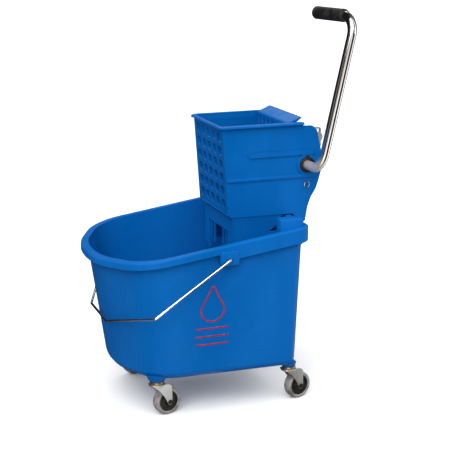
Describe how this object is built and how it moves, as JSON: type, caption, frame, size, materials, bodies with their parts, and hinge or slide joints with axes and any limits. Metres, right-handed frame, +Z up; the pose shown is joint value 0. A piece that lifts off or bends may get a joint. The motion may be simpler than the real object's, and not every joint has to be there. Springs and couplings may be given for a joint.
{
  "type": "mop bucket with side-press wringer",
  "caption": "Rounded-front mop bucket on swivel casters, with a wire bail and a lift-off side-press wringer worked by a bent tube handle.",
  "frame": {"origin": "on the floor under the middle of the whole object's box", "axes": "+Z up; +X along the tub towards the wringer and handle end, the rounded pouring end is at -X; the handle's arm is on the -Y side"},
  "size_m": [0.602, 0.462, 0.9275],
  "materials": {
    "tub_blue": "moulded, satin sheen, faint orange peel",
    "wringer_blue": "moulded, satin sheen",
    "press_blue": "moulded, satin sheen, scuffed on the pressing face",
    "bail_steel": "bright zinc-plated wire",
    "black_nylon": "moulded nylon",
    "zinc_steel": "bright zinc plate on pressed steel",
    "hub_black": "moulded",
    "tyre_grey": "non-marking grey rubber",
    "handle_chrome": "polished chrome plate",
    "grip_rubber": "moulded rubber, fine ribs"
  },
  "bodies": {
    "tub": {"tub": "tub_blue", "bail_bushes": "black_nylon", "front_left_caster_stem": "zinc_steel", "front_right_caster_stem": "zinc_steel", "rear_left_caster_stem": "zinc_steel", "rear_right_caster_stem": "zinc_steel"},
    "bail": {"bail_wire": "bail_steel"},
    "wringer": {"wringer_housing": "wringer_blue", "shaft_bush_left": "black_nylon", "shaft_bush_right": "black_nylon", "tie_rod": "zinc_steel"},
    "press": {"press_plate": "press_blue", "press_yoke_left": "zinc_steel", "press_yoke_right": "zinc_steel", "yoke_screws": "zinc_steel"},
    "handle": {"handle_tube": "handle_chrome", "handle_grip": "grip_rubber", "crank_left": "zinc_steel", "crank_right": "zinc_steel", "crank_rollers": "zinc_steel", "shaft_cap": "black_nylon"},
    "front_left_fork": {"front_left_caster_fork": "zinc_steel", "front_left_caster_axle": "zinc_steel"},
    "front_left_wheel": {"front_left_caster_hub": "hub_black", "front_left_caster_tyre": "tyre_grey"},
    "front_right_fork": {"front_right_caster_fork": "zinc_steel", "front_right_caster_axle": "zinc_steel"},
    "front_right_wheel": {"front_right_caster_hub": "hub_black", "front_right_caster_tyre": "tyre_grey"},
    "rear_left_fork": {"rear_left_caster_fork": "zinc_steel", "rear_left_caster_axle": "zinc_steel"},
    "rear_left_wheel": {"rear_left_caster_hub": "hub_black", "rear_left_caster_tyre": "tyre_grey"},
    "rear_right_fork": {"rear_right_caster_fork": "zinc_steel", "rear_right_caster_axle": "zinc_steel"},
    "rear_right_wheel": {"rear_right_caster_hub": "hub_black", "rear_right_caster_tyre": "tyre_grey"}
  },
  "joints": [
    {"name": "bail_lift", "type": "hinge", "parent": "tub", "child": "bail", "pos_m": [-0.02035, 0, 0.388], "axis": [0, 1, 0], "range_deg": [0, 121]},
    {"name": "wringer_lift_off", "type": "slide", "parent": "tub", "child": "wringer", "axis": [0, 0, 1], "range_m": [0, 0.13]},
    {"name": "handle_pull", "type": "hinge", "parent": "wringer", "child": "handle", "pos_m": [0.21665, 0, 0.564], "axis": [0, -1, 0], "range_deg": [0, 75]},
    {"name": "press_slide", "type": "slide", "parent": "wringer", "child": "press", "axis": [-1, 0, 0], "range_m": [0, 0.0857]},
    {"name": "front_left_swivel", "type": "hinge", "parent": "tub", "child": "front_left_fork", "pos_m": [-0.17135, -0.136, 0.087], "axis": [0, 0, 1], "continuous": true},
    {"name": "front_left_roll", "type": "hinge", "parent": "front_left_fork", "child": "front_left_wheel", "pos_m": [-0.14613, -0.12971, 0.0325], "axis": [-0.2419, 0.9703, 0], "continuous": true},
    {"name": "front_right_swivel", "type": "hinge", "parent": "tub", "child": "front_right_fork", "pos_m": [-0.17135, 0.136, 0.087], "axis": [0, 0, 1], "continuous": true},
    {"name": "front_right_roll", "type": "hinge", "parent": "front_right_fork", "child": "front_right_wheel", "pos_m": [-0.14613, 0.14229, 0.0325], "axis": [-0.2419, 0.9703, 0], "continuous": true},
    {"name": "rear_left_swivel", "type": "hinge", "parent": "tub", "child": "rear_left_fork", "pos_m": [0.15565, -0.15, 0.087], "axis": [0, 0, 1], "continuous": true},
    {"name": "rear_left_roll", "type": "hinge", "parent": "rear_left_fork", "child": "rear_left_wheel", "pos_m": [0.18087, -0.14371, 0.0325], "axis": [-0.2419, 0.9703, 0], "continuous": true},
    {"name": "rear_right_swivel", "type": "hinge", "parent": "tub", "child": "rear_right_fork", "pos_m": [0.15565, 0.15, 0.087], "axis": [0, 0, 1], "continuous": true},
    {"name": "rear_right_roll", "type": "hinge", "parent": "rear_right_fork", "child": "rear_right_wheel", "pos_m": [0.18087, 0.15629, 0.0325], "axis": [-0.2419, 0.9703, 0], "continuous": true}
  ],
  "couplings": [
    {"joint": "press_slide", "follows": "handle_pull", "m_per_rad": 0.065317}
  ]
}
